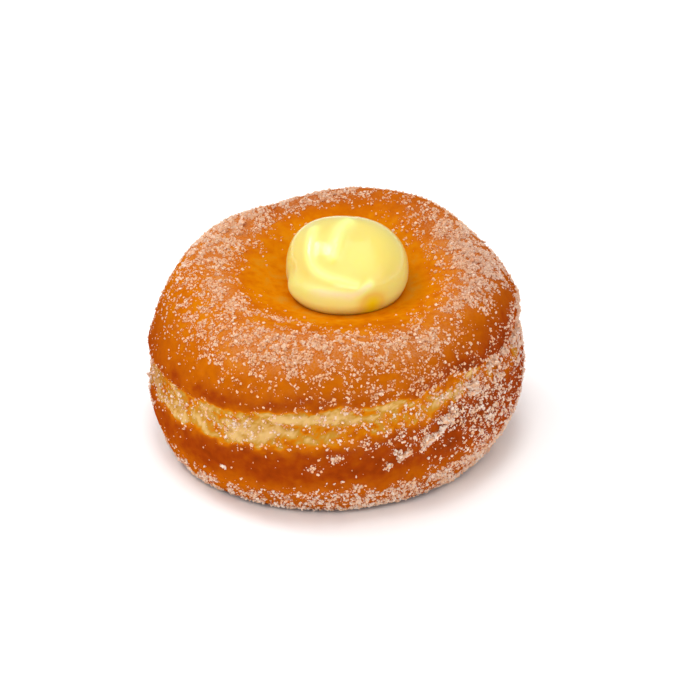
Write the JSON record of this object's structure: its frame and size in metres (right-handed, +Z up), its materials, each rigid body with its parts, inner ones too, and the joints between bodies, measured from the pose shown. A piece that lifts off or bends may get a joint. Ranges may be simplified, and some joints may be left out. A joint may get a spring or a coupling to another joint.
{
  "type": "cream-filled doughnut",
  "caption": "Round fried doughnut with a pale band round its waist, sugar stuck to its crust and a dollop of custard cream on top.",
  "frame": {"origin": "on the table under the middle of the doughnut's box", "axes": "+Z up out of the cream, +X to the right and -Y towards the viewer of the picture"},
  "size_m": [0.087, 0.085, 0.0519],
  "materials": {
    "crust": "fried golden-brown dough with a slightly glossy crust, dusted with sugar",
    "custard": "smooth, glossy, pale yellow custard cream"
  },
  "bodies": {
    "root": {"dough": "crust", "cream": "custard"}
  },
  "joints": []
}
